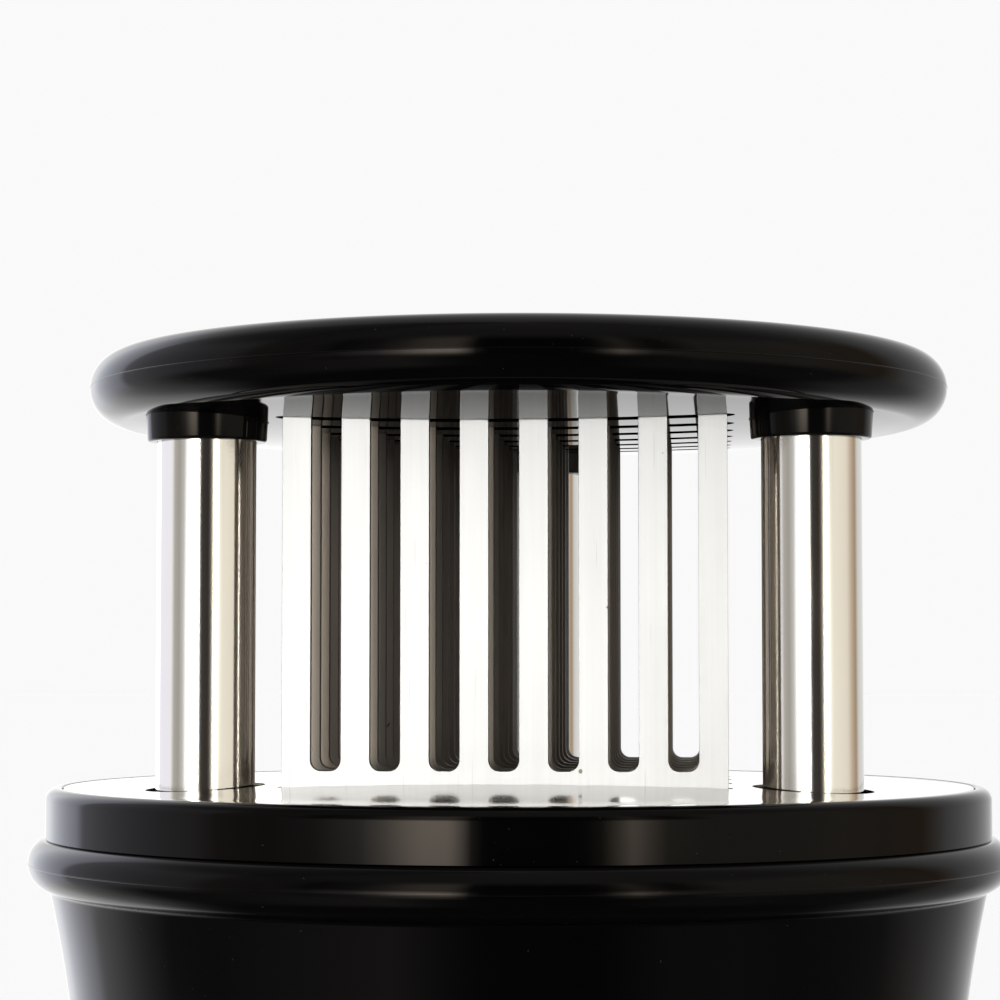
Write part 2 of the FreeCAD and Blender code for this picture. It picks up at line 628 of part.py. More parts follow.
# ---------------------------------------------------------------- guides and springs
def make_guide_bush(number, angle):
    flange_foot = f"({BUSH_TOP} - flange_thickness)"
    body = turned(f"guide_bush_{number}", [
        (BUSH_BORE, BUSH_FOOT),
        (BUSH_RADIUS, BUSH_FOOT),
        (BUSH_RADIUS, flange_foot),
        (f"{BUSH_RADIUS} + flange_width", flange_foot),
        (f"{BUSH_RADIUS} + flange_width", BUSH_TOP),
        (BUSH_BORE, BUSH_TOP),
    ])
    return place(body, *polar(TUBE_CIRCLE, angle))


def make_spring_post(number, angle):
    pip_radius = f"({SPRING_BORE} - pip_gap)"
    body = turned(f"spring_post_{number}", [
        ("0", POST_FOOT),
        (POST_RADIUS, POST_FOOT),
        (POST_RADIUS, SPRING_SEAT),
        (pip_radius, SPRING_SEAT),
        (pip_radius, f"{SPRING_SEAT} + pip_length - {pip_radius} / 3"),
        (f"{pip_radius} * 2 / 3", f"{SPRING_SEAT} + pip_length"),
        ("0", f"{SPRING_SEAT} + pip_length"),
    ])
    return place(body, *polar(TUBE_CIRCLE, angle))


def make_return_spring(number, angle):
    """Square-section wire on a helix, from the post's seat up to the tube's insert."""
    length = f"({INSERT_FOOT} - {SPRING_SEAT} - wire_size - 2 * fit_gap)"
    body = new_body(f"return_spring_{number}")
    wire = new_sketch(body, f"spring_{number}_wire")
    foot = f"({SPRING_SEAT} + fit_gap)"
    outline(wire, [
        (SPRING_BORE, foot),
        (POST_RADIUS, foot),
        (POST_RADIUS, f"{foot} + wire_size"),
        (SPRING_BORE, f"{foot} + wire_size"),
    ])
    coil = body.newObject("PartDesign::AdditiveHelix", f"spring_{number}_coil")
    coil.Profile = wire
    coil.ReferenceAxis = (wire, ["V_Axis"])
    coil.Mode = "height-turns-angle"
    bind(coil, Height=length, Turns="spring_turns")
    return place(body, *polar(TUBE_CIRCLE, angle))


# ---------------------------------------------------------------- guard
# Disc with a half-round edge, an inner face crowned towards the blades, a slot for each comb,
# and for each tube a collar seat, a socket and a countersunk screw hole.
def make_guard_disc():
    body = new_body("guard_disc")
    section = new_sketch(body, "guard_section")
    outline(section, [
        ("0", GUARD_CROWN, GUARD_CURVE, 1),
        (GUARD_FLAT, GUARD_EDGE_FOOT, "guard_edge / 2", 1),
        (GUARD_RADIUS, f"{GUARD_EDGE_FOOT} + guard_edge / 2", "guard_edge / 2", 1),
        (GUARD_FLAT, GUARD_TOP),
        ("0", GUARD_TOP),
    ])
    revolve(body, section)

    slot = new_sketch(body, "guard_slot", "XY_Plane", GUARD_TOP)
    half_width = "(comb_thickness / 2 + guard_slot_gap)"
    end = f"({COMB_WIDTH} / 2 + guard_slot_gap - {half_width})"
    middle = f"(-{COMB_SPAN} / 2)"
    outline(slot, [
        (f"-{end}", f"{middle} - {half_width}"),
        (end, f"{middle} - {half_width}", half_width, 1),
        (f"{end} + {half_width}", middle, half_width, 1),
        (end, f"{middle} + {half_width}"),
        (f"-{end}", f"{middle} + {half_width}", half_width, 1),
        (f"-({end} + {half_width})", middle, half_width, 1),
    ])
    cut = pocket(body, slot, "guard_edge + 2 * guard_bulge")
    repeat(body, cut, "V_Axis", "comb_spacing", "comb_count")

    seat = new_sketch(body, "collar_seat", "XY_Plane", COLLAR_TOP)
    ring(seat, *polar(TUBE_CIRCLE, TUBE_ANGLES[0]), f"{COLLAR_RADIUS} + fit_gap")
    around(body, pocket(body, seat, "guard_bulge + collar_seat"))

    socket = new_sketch(body, "tube_socket", "XY_Plane", TUBE_TOP)
    ring(socket, *polar(TUBE_CIRCLE, TUBE_ANGLES[0]), "tube_radius + fit_gap")
    around(body, pocket(body, socket, "tube_socket"))

    drilling = new_sketch(body, "guard_drilling", "XY_Plane", GUARD_TOP)
    ring(drilling, *polar(TUBE_CIRCLE, TUBE_ANGLES[0]), "guard_screw_radius + slide_in_gap")
    around(body, pocket(body, drilling, "guard_edge"))

    sink = new_sketch(body, "countersink", "XY_Plane", GUARD_TOP)
    ring(sink, *polar(TUBE_CIRCLE, TUBE_ANGLES[0]), "guard_head_radius + slide_in_gap")
    cone = pocket(body, sink, "guard_head_height + screw_recess")
    bind(cone, TaperAngle="-atan((guard_head_radius - guard_screw_radius) / guard_head_height)")
    around(body, cone)
    return body


def make_guard_screws():
    screws = []
    for number, angle in enumerate(TUBE_ANGLES, start=1):
        top = f"({GUARD_TOP} - screw_recess)"
        screw = turned(f"guard_screw_{number}", [
            ("0", f"{top} - guard_screw_length"),
            ("guard_screw_radius", f"{top} - guard_screw_length"),
            ("guard_screw_radius", f"{top} - guard_head_height"),
            ("guard_head_radius", top),
            ("0", top),
        ])
        screws.append(place(screw, *polar(TUBE_CIRCLE, angle)))
    return group("guard_screws", screws)


def make_guide_tube(number, angle):
    body = turned(f"guide_tube_{number}", [
        (TUBE_BORE, TUBE_FOOT),
        ("tube_radius", TUBE_FOOT),
        ("tube_radius", TUBE_TOP),
        (TUBE_BORE, TUBE_TOP),
    ])
    return place(body, *polar(TUBE_CIRCLE, angle))


def make_collar(number, angle):
    body = turned(f"collar_{number}", [
        ("tube_radius + fit_gap", COLLAR_FOOT),
        (f"{COLLAR_RADIUS} - collar_draft - collar_chamfer", COLLAR_FOOT),
        (f"{COLLAR_RADIUS} - collar_draft", f"{COLLAR_FOOT} + collar_chamfer"),
        (COLLAR_RADIUS, COLLAR_TOP),
        ("tube_radius + fit_gap", COLLAR_TOP),
    ])
    return place(body, *polar(TUBE_CIRCLE, angle))


def make_tube_insert(number, angle):
    body = turned(f"tube_insert_{number}", [
        ("guard_screw_radius + fit_gap", INSERT_FOOT),
        (f"{TUBE_BORE} - fit_gap", INSERT_FOOT),
        (f"{TUBE_BORE} - fit_gap", TUBE_TOP),
        ("guard_screw_radius + fit_gap", TUBE_TOP),
    ])
    return place(body, *polar(TUBE_CIRCLE, angle))


def make_stop_ring(number, angle):
    body = turned(f"stop_ring_{number}", [
        (TUBE_BORE, STOP_FOOT),
        (f"{STOP_RADIUS} - stop_chamfer", STOP_FOOT),
        (STOP_RADIUS, f"{STOP_FOOT} + stop_chamfer"),
        (STOP_RADIUS, BUSH_FOOT),
        ("tube_radius + fit_gap", BUSH_FOOT),
        ("tube_radius + fit_gap", TUBE_FOOT),
        (TUBE_BORE, TUBE_FOOT),
    ])
    return place(body, *polar(TUBE_CIRCLE, angle))


# ---------------------------------------------------------------- the assembly
nodes = [make_handle_shell(), make_head_ring(), make_cover_plate(), make_blade_carrier()]
nodes += [make_comb(number) for number in range(1, int(value("comb_count")) + 1)]
nodes += [make_carrier_rod("carrier_rod_left", -1), make_carrier_rod("carrier_rod_right", 1)]
nodes += [make_carrier_screws(), make_deck_screws()]
nodes += [make_guard_disc(), make_guard_screws()]
for place_number, tube_angle in enumerate(TUBE_ANGLES, start=1):
    nodes.append(make_guide_bush(place_number, tube_angle))
    nodes.append(make_spring_post(place_number, tube_angle))
    nodes.append(make_return_spring(place_number, tube_angle))
    nodes.append(make_guide_tube(place_number, tube_angle))
    nodes.append(make_collar(place_number, tube_angle))
    nodes.append(make_tube_insert(place_number, tube_angle))
    nodes.append(make_stop_ring(place_number, tube_angle))

doc.recompute()
for item in doc.Objects:
    if "Invalid" in item.State or "Error" in item.State:
        raise RuntimeError(f"{item.Label} failed: {item.State}")
for node in nodes:
    if node.Shape.isNull() or not node.Shape.isValid() or not node.Shape.Solids:
        raise RuntimeError(f"{node.Label} has no valid shape")

os.makedirs("parts", exist_ok=True)
for node in nodes:
    node.Shape.exportStep(f"parts/{node.Label}.step")
print(len(nodes), "nodes written")
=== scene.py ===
"""The looks of a round blade meat tenderizer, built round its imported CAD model.

It stands on the flat end of its handle, blades up, with the guard on its three tubes on top.
Sizes are in millimetres until a mesh is made; the scene itself is in metres.
"""
import math

import bpy
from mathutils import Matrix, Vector


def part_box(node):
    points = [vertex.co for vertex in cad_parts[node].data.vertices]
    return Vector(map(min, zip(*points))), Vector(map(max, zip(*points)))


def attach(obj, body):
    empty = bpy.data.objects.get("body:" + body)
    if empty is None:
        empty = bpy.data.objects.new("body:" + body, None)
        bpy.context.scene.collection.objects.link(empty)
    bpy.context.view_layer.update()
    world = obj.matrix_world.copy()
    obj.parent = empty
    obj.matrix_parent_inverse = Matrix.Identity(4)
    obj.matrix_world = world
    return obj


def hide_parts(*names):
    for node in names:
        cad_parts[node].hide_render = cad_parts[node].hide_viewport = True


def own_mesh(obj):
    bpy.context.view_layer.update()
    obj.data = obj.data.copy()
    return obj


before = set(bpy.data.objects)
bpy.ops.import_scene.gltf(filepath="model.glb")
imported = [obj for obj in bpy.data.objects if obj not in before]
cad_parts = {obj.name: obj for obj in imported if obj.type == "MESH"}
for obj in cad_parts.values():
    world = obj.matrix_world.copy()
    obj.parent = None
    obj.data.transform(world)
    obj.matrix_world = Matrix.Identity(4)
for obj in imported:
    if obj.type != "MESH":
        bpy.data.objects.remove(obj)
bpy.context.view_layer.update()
MM = 0.001


# ---------------------------------------------------------------- handle pot
# The grip is one glossy black ABS moulding, turned in form: flat end, waisted side, and a
# half-round bead at its mouth. A fine raised line on the bead shows where the mould parted.
class Wire:
    """A shader socket. Arithmetic on it adds Math nodes."""

    def __init__(self, finish, socket):
        self.finish = finish
        self.socket = socket

    def maths(self, operation, *others):
        values = dict(enumerate((self, *others)))
        return self.finish.add("ShaderNodeMath", values, operation=operation)

    def __add__(self, other):
        return self.maths("ADD", other)

    def __sub__(self, other):
        return self.maths("SUBTRACT", other)

    def __rsub__(self, other):
        return self.finish.add("ShaderNodeMath", {0: other, 1: self}, operation="SUBTRACT")

    def __mul__(self, other):
        return self.maths("MULTIPLY", other)

    def __truediv__(self, other):
        return self.maths("DIVIDE", other)

    __radd__ = __add__
    __rmul__ = __mul__


class Finish:
    """A material, or the world, whose nodes are added one by one."""

    def __init__(self, name, owner=None, **constants):
        self.owner = owner or bpy.data.materials.new(name)
        self.owner.use_nodes = True
        self.tree = self.owner.node_tree
        wanted = "BACKGROUND" if owner else "BSDF_PRINCIPLED"
        self.shader = next(node for node in self.tree.nodes if node.type == wanted)
        for socket, value in constants.items():
            self.set(socket.replace("_", " ").title().replace("Ior", "IOR"), value)

    def add(self, kind, inputs=None, output=0, stops=None, **settings):
        """Adds a node: its settings first, then the values or wires of its inputs."""
        node = self.tree.nodes.new(kind)
        for name, setting in settings.items():
            setattr(node, name, setting)
        for number, (position, colour) in enumerate(stops or ()):
            if number >= len(node.color_ramp.elements):
                node.color_ramp.elements.new(1.0)
            node.color_ramp.elements[number].position = position
            node.color_ramp.elements[number].color = (*colour, 1.0)
        for name, value in (inputs or {}).items():
            if isinstance(value, Wire):
                self.tree.links.new(value.socket, node.inputs[name])
            else:
                node.inputs[name].default_value = value
        return Wire(self, node.outputs[output])

    def set(self, name, value):
        if isinstance(value, Wire):
            self.tree.links.new(value.socket, self.shader.inputs[name])
        else:
            self.shader.inputs[name].default_value = value

    def noise(self, x, y, z, detail=2.0, roughness=0.5):
        """Noise on the piece's own coordinates, with its features per metre along each axis."""
        place = self.add("ShaderNodeTexCoord", output="Object")
        stretched = self.add("ShaderNodeMapping", {"Vector": place, "Scale": (x, y, z)})
        inputs = {"Vector": stretched, "Scale": 1.0, "Detail": detail, "Roughness": roughness}
        return self.add("ShaderNodeTexNoise", inputs)

    def eased(self, value, low, high, out_low=0.0, out_high=1.0):
        inputs = {"Value": value, "From Min": low, "From Max": high,
                  "To Min": out_low, "To Max": out_high}
        return self.add("ShaderNodeMapRange", inputs, interpolation_type="SMOOTHSTEP")

    def blend(self, share, first, second):
        """A colour between two, each a triple or a wire."""
        inputs = {0: share}
        for slot, colour in ((6, first), (7, second)):
            inputs[slot] = colour if isinstance(colour, Wire) else (*colour, 1.0)
        return self.add("ShaderNodeMix", inputs, output=2, data_type="RGBA")

    def bump(self, height, depth_mm):
        inputs = {"Height": height, "Distance": depth_mm * MM}
        self.set("Normal", self.add("ShaderNodeBump", inputs))

    def onto(self, *pieces):
        for piece in pieces:
            piece.data.materials.clear()
            piece.data.materials.append(self.owner)


def corners(node):
    """Lowest and highest corner of a CAD node, in millimetres."""
    low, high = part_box(node)
    return Vector(low) / MM, Vector(high) / MM


def on_circle(centre, radius, degrees):
    turn = math.radians(degrees)
    return centre[0] + radius * math.cos(turn), centre[1] + radius * math.sin(turn)


def arc(centre, start, end, steps):
    """Points from start to end about a centre, the short way round."""
    radius = math.dist(centre, start)
    first = math.degrees(math.atan2(start[1] - centre[1], start[0] - centre[0]))
    last = math.degrees(math.atan2(end[1] - centre[1], end[0] - centre[0]))
    sweep = (last - first + 180.0) % 360.0 - 180.0
    return [on_circle(centre, radius, first + sweep * step / steps) for step in range(steps + 1)]


def crossing(first, first_radius, second, second_radius, side):
    """Where two circles cross: to the left (1) or right (-1) of the line between their centres."""
    reach = math.dist(first, second)
    along = (first_radius**2 - second_radius**2 + reach**2) / (2 * reach)
    off = side * math.sqrt(first_radius**2 - along**2)
    ux, uy = (second[0] - first[0]) / reach, (second[1] - first[1]) / reach
    return first[0] + along * ux - off * uy, first[1] + along * uy + off * ux


def scaled(centre, point, share):
    """The point at a share of the way from a centre to a point, or past it."""
    return (centre[0] + (point[0] - centre[0]) * share,
            centre[1] + (point[1] - centre[1]) * share)


def traced(name, points):
    """A new object in edit mode: one vertex, drawn out by extrusion along the points."""
    bpy.ops.object.select_all(action="DESELECT")
    bpy.ops.mesh.primitive_plane_add(size=MM)
    piece = bpy.context.object
    piece.name = piece.data.name = name
    bpy.ops.object.mode_set(mode="EDIT")
    bpy.ops.mesh.select_all(action="SELECT")
    bpy.ops.mesh.merge(type="CENTER")
    bpy.ops.transform.translate(value=Vector(points[0]) * MM)
    for here, there in zip(points, points[1:]):
        step = (Vector(there) - Vector(here)) * MM
        bpy.ops.mesh.extrude_region_move(TRANSFORM_OT_translate={"value": step})
    bpy.ops.mesh.select_all(action="SELECT")
    bpy.ops.mesh.remove_doubles(threshold=0.0005 * MM)
    return piece


def closed(piece, smooth_angle=35.0):
    """Merges the doubles of the piece in hand, turns its faces outwards and smooths it."""
    bpy.ops.mesh.select_all(action="SELECT")
    bpy.ops.mesh.remove_doubles(threshold=0.0005 * MM)
    bpy.ops.mesh.normals_make_consistent(inside=False)
    bpy.ops.object.mode_set(mode="OBJECT")
    bpy.ops.object.shade_smooth_by_angle(angle=math.radians(smooth_angle))
    return piece


def turned(name, outline, steps=256, centre=(0.0, 0.0)):
    """A piece turned about an upright line, from its closed outline of (radius, height)."""
    points = [(centre[0] + radius, centre[1], height) for radius, height in outline]
    piece = traced(name, points + points[:1])
    bpy.ops.mesh.select_all(action="SELECT")
    middle = (centre[0] * MM, centre[1] * MM, 0.0)
    bpy.ops.mesh.spin(steps=steps, angle=math.tau, center=middle, axis=(0.0, 0.0, 1.0))
    return closed(piece)


def finish_as(piece, body, slot, *nodes):
    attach(piece, body)
    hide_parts(*nodes)


def glossy_black(name, tint):
    """High-gloss ABS: a little sink and ripple, hairlines from handling, and specks of dust."""
    finish = Finish(name, ior=1.2, specular_tint=(1.0, 0.92, 0.84, 1.0))
    ripple = finish.noise(150, 150, 150, detail=1.0)
    cloud = finish.noise(55, 55, 55, detail=3.0)
    hairline = finish.eased(finish.noise(2600, 2600, 130, detail=0.0), 0.81, 0.85)
    dust = finish.eased(finish.noise(3600, 3600, 3600, detail=0.0), 0.87, 0.885)
    finish.set("Base Color", finish.blend(dust * 0.3, tint, (0.06, 0.06, 0.065)))
    finish.set("Roughness", 0.03 + cloud * 0.03 + hairline * 0.06 + dust * 0.2)
    finish.bump(ripple + hairline * 0.01, 0.004)
    return finish


seam = corners("handle_shell")[1].z
band_radius = corners("head_ring")[1].x
wall, foot_round, foot_inset = 2.6, 9.5, 2.55
grip_curve, grip_top_inset = 135.0, 0.5
bead_overhang, bead_round, bead_tuck, bead_fillet = 1.8, 2.85, 0.4, 0.5
mouth_inset, mouth_depth = 3.45, 5.6
bead = (band_radius + bead_overhang - bead_round, seam - bead_round + bead_tuck)
grip_foot = (band_radius - foot_inset, foot_round)
grip_top_radius = band_radius - grip_top_inset
under_bead = math.sqrt(bead_round**2 - (grip_top_radius - bead[0]) ** 2)
grip = crossing(grip_foot, grip_curve, (grip_top_radius, bead[1] - under_bead), grip_curve, -1)
nook = crossing(grip, grip_curve - bead_fillet, bead, bead_round + bead_fillet, 1)
grip_end = scaled(grip, nook, grip_curve / (grip_curve - bead_fillet))
bead_start = scaled(bead, nook, bead_round / (bead_round + bead_fillet))
bead_end = (bead[0] + math.sqrt(bead_round**2 - (seam - bead[1]) ** 2), seam)
# The parting line's rise, and how many degrees of the bead its crest and its foot take.
parting_rise, crest_turn, foot_turn = 0.035, 0.5, 1.3
parting_foot = [on_circle(bead, bead_round, turn) for turn in (-foot_turn, foot_turn)]
crest_radius = bead_round + parting_rise
foot_centre = (grip_foot[0] - foot_round, foot_round)
mouth = band_radius - mouth_inset
outline = [(0.0, 0.0)]
outline += arc(foot_centre, (foot_centre[0], 0.0), grip_foot, 24)
outline += arc(grip, grip_foot, grip_end, 40)[1:]
outline += arc(nook, grip_end, bead_start, 8)[1:]
outline += arc(bead, bead_start, parting_foot[0], 24)[1:]
outline += [on_circle(bead, crest_radius, turn) for turn in (-crest_turn, crest_turn)]
outline += arc(bead, parting_foot[1], bead_end, 20)
outline += [(mouth, seam), (mouth, seam - mouth_depth), (grip_foot[0] - wall, foot_round)]
outline += [(foot_centre[0], wall), (0.0, wall)]
pot = turned("handle_pot", outline)
handle_black = glossy_black("handle_black", (0.0011, 0.0011, 0.0013))
handle_black.onto(pot)
finish_as(pot, "handle", "gloss_black", "handle_shell")


# ---------------------------------------------------------------- head moulding
# The handle's lid, in the same ABS: a plain band with a rounded rim that stands round the cover
# plate, a deck with a slot for each comb and a bore for each bush, and a spigot below.
def slab(name, points, thickness):
    """A closed outline, filled and drawn out along a thickness vector."""
    piece = traced(name, list(points) + list(points[:1]))
    bpy.ops.mesh.edge_face_add()
    bpy.ops.mesh.extrude_region_move(TRANSFORM_OT_translate={"value": Vector(thickness) * MM})
    return closed(piece)


def comb_slots(name, end_slack, half_width, rounding, foot, depth, steps):
    """A cutter for each comb's slot, long in X, with rounded corners."""
    half_length = comb_half + end_slack
    slots = []
    for number, row in enumerate(comb_rows):
        points = []
        for corner, (side, end) in enumerate(((1, 1), (-1, 1), (-1, -1), (1, -1))):
            centre = (side * (half_length - rounding), row + end * (half_width - rounding))
            for step in range(steps + 1):
                turn = 90.0 * (corner + step / steps)
                points.append((*on_circle(centre, rounding, turn), foot))
        slots.append(slab(f"{name}_{number}", points, (0.0, 0.0, depth)))
    return slots


def cut_out(piece, *cutters):
    """Takes the cutters out of a piece."""
    for cutter in cutters:
        bpy.ops.object.select_all(action="DESELECT")
        bpy.context.view_layer.objects.active = piece
        bpy.ops.object.modifier_add(type="BOOLEAN")
        cut = piece.modifiers[-1]
        cut.operation, cut.solver, cut.object = "DIFFERENCE", "EXACT", cutter
        bpy.ops.object.modifier_apply(modifier=cut.name)
        bpy.data.objects.remove(cutter)
    piece.select_set(True)
    bpy.ops.object.shade_smooth_by_angle(angle=math.radians(35))


comb_boxes = [corners(f"comb_{number}") for number in range(1, 8)]
comb_half = comb_boxes[0][1].x
comb_rows = [(low.y + high.y) / 2 for low, high in comb_boxes]
tube_boxes = [corners(f"guide_tube_{number}") for number in (1, 2, 3)]
tube_places = [((low.x + high.x) / 2, (low.y + high.y) / 2) for low, high in tube_boxes]
tube_radius = (tube_boxes[0][1].x - tube_boxes[0][0].x) / 2
head_low, head_high = corners("head_ring")
rim_top = head_high.z
plate_low, plate_high = corners("cover_plate")
bush_low, bush_high = corners("guide_bush_1")
fit, past = 0.05, 1.0  # slack of a seated piece, and how far a cutter reaches past a face
deck_thickness, spigot_wall, band_break = 6.0, 2.4, 0.15
rim_round, rim_land, land_round = 1.3, 1.75, 0.25
flange_lip, flange_thickness = 1.35, 1.0
deck_top = plate_low.z
deck_foot = deck_top - deck_thickness
spigot = mouth - fit
recess = band_radius - rim_land
rim_centre = (band_radius - rim_round, rim_top - rim_round)
land_centre = (recess + land_round, rim_top - land_round)
outline = [(0.0, deck_foot), (spigot - spigot_wall, deck_foot), (spigot - spigot_wall, head_low.z)]
outline += [(spigot, head_low.z), (spigot, seam), (band_radius - band_break, seam)]
outline += [(band_radius, seam + band_break)]
outline += arc(rim_centre, (band_radius, rim_centre[1]), (rim_centre[0], rim_top), 14)
outline += arc(land_centre, (land_centre[0], rim_top), (recess, land_centre[1]), 5)
outline += [(recess, deck_top), (0.0, deck_top)]
head = turned("head_moulding", outline)
cutters = comb_slots("deck_slot", 0.15, 0.65, 0.05, deck_foot - past, 8.0, 1)
seat = (bush_high.x - bush_low.x) / 2 + fit
bore = seat - flange_lip
outline = [(0.0, deck_foot - past), (bore, deck_foot - past), (bore, deck_top - flange_thickness),
           (seat, deck_top - flange_thickness), (seat, deck_top + past), (0.0, deck_top + past)]
for number, place in enumerate(tube_places):
    cutters.append(turned(f"bush_bore_{number}", outline, 96, place))
screw_inset, screw_bore, screw_head, head_depth = 9.0, 1.9, 3.35, 2.4
outline = [(0.0, deck_foot - past), (screw_bore, deck_foot - past),
           (screw_bore, deck_top - head_depth), (screw_head, deck_top - head_depth),
           (screw_head, deck_top + past), (0.0, deck_top + past)]
for number, degrees in enumerate((270, 30, 150)):
    place = on_circle((0.0, 0.0), mouth - screw_inset, degrees)
    cutters.append(turned(f"screw_bore_{number}", outline, 64, place))
cut_out(head, *cutters)
head_black = glossy_black("head_black", (0.0011, 0.0011, 0.0012))
head_black.onto(head)
finish_as(head, "handle", "gloss_black", "head_ring")


# ---------------------------------------------------------------- cover plate
# Bright stainless sheet with a shallow pressed crown and a flat margin, punched for the combs and
# the tubes, and dropped into the head's recess. Its blanked edge is slightly rolled over.
def polished_steel(name, grey, low, high, grain, depth):
    """Bright stainless: fine polishing lines, a faint haze and a few wipe marks."""
    finish = Finish(name, metallic=1.0)
    lines = finish.noise(*grain, detail=3.0)
    haze = finish.noise(70, 70, 70, detail=3.0)
    smear = finish.eased(finish.noise(35, 60, 60, detail=2.0), 0.50, 0.72)
    finish.set("Base Color", finish.blend(haze, grey, [value * 0.93 for value in grey]))
    finish.set("Roughness", low + (high - low) * (lines * 0.5 + haze * 0.5) + smear * 0.03)
    finish.bump(lines, depth)
    return finish


plate_sheet, rolled, margin_drop = 1.0, 0.22, 0.02
crown_reach, margin_start, margin_step = 41.0, 46.0, 0.5
plate_radius = plate_high.x
crown = plate_high.z
margin_level = rim_top - margin_drop
steepest = 2 * (crown - margin_level) / margin_start
shoulder = (plate_radius - rolled, margin_level - rolled)


def plate_level(radius):
    """Height of the sheet: a shallow crown that eases into a flat margin."""
    if radius < crown_reach:
        return crown - steepest * radius**2 / (2 * crown_reach)
    short = margin_start - radius
    return margin_level + steepest * short**2 / (2 * (margin_start - crown_reach))


crown_steps = [crown_reach * step / 30 for step in range(31)]
ease_steps = [margin_start - margin_step * step for step in range(10)]
outline = [(radius, plate_level(radius) - plate_sheet) for radius in crown_steps]
outline += [(plate_radius - fit, deck_top), (plate_radius, deck_top + fit)]
outline += arc(shoulder, (plate_radius, shoulder[1]), (shoulder[0], margin_level), 5)
outline += [(radius, plate_level(radius)) for radius in ease_steps]
outline += [(radius, plate_level(radius)) for radius in reversed(crown_steps)]
plate = turned("cover_plate_sheet", outline)
cutters = comb_slots("plate_slot", 0.42, 0.65, 0.2, deck_top - past, 5.0, 3)
tube_gap = 1.04
hole = tube_radius + tube_gap
outline = [(0.0, deck_top - past), (hole, deck_top - past), (hole, crown + past),
           (0.0, crown + past)]
for number, place in enumerate(tube_places):
    cutters.append(turned(f"plate_hole_{number}", outline, 128, place))
cut_out(plate, *cutters)
plate_steel = polished_steel("plate_steel", (0.86, 0.835, 0.79), 0.05, 0.14, (90, 4200, 90), 0.0006)
plate_steel.onto(plate)
finish_as(plate, "handle", "plate_steel", "cover_plate")


# ---------------------------------------------------------------- blade combs
# Each comb is stamped from 1 mm stainless sheet, with flat-footed gaps, round in their corners,
# between its blades. The blades are pointed, ground on one face, and brushed lengthwise.
def copied(blank, name, x, y):
    """A copy of a piece with a mesh of its own, which is moved by x and y."""
    bpy.ops.object.select_all(action="DESELECT")
    blank.select_set(True)
    bpy.context.view_layer.objects.active = blank
    bpy.ops.object.duplicate()
    piece = bpy.context.object
    piece.name = piece.data.name = name
    bpy.ops.object.mode_set(mode="EDIT")
    bpy.ops.mesh.select_all(action="SELECT")
    bpy.ops.transform.translate(value=(x * MM, y * MM, 0.0))
    bpy.ops.object.mode_set(mode="OBJECT")
    return piece


blade_count, blade_spacing, blade_width = 8, 6.0, 2.92
point_length, grind_length, sheet_thickness, edge_thickness = 2.6, 3.4, 1.0, 0.12
web_rise, gap_round, burr = 0.95, 1.1, 0.05
root, tip = comb_boxes[0][0].z, comb_boxes[0][1].z
gap_foot = crown + web_rise
bend = gap_foot + gap_round
front = -sheet_thickness / 2
points = [(-comb_half, front, root), (comb_half, front, root)]
for number in range(blade_count - 1, -1, -1):
    middle = (number - (blade_count - 1) / 2) * blade_spacing
    right, left = middle + blade_width / 2, middle - blade_width / 2
    points += [(right, front, tip - point_length), (middle, front, tip)]
    points += [(left, front, tip - point_length)]
    if number:
        far = left - blade_spacing + blade_width
        foot = arc((left - gap_round, bend), (left, bend), (left - gap_round, gap_foot), 8)
        foot += arc((far + gap_round, bend), (far + gap_round, gap_foot), (far, bend), 8)
        points += [(x, front, z) for x, z in foot]
comb = slab("comb_blank", points, (0.0, sheet_thickness, 0.0))
bpy.ops.object.mode_set(mode="EDIT")
bpy.ops.mesh.select_all(action="SELECT")
slope = (sheet_thickness - edge_thickness) / grind_length
bpy.ops.mesh.bisect(plane_co=(0.0, (front + edge_thickness) * MM, tip * MM),
                    plane_no=(0.0, 1.0, slope), use_fill=True, clear_outer=True)
closed(comb, 25)
bpy.ops.object.modifier_add(type="BEVEL")
bevel = comb.modifiers[-1]
bevel.width, bevel.segments, bevel.limit_method = burr * MM, 2, "ANGLE"
bevel.angle_limit, bevel.harden_normals = math.radians(40), True
bpy.ops.object.modifier_apply(modifier=bevel.name)

# Where the painted shade on the five inner combs starts and ends: they are coloured darker and
# browner than the two outer combs.
middle_row = (comb_rows[0] + comb_rows[-1]) / 2
inner_shade_end = (comb_rows[-1] - comb_rows[0]) / 2 - 0.8
inner_shade_start = inner_shade_end - 0.5


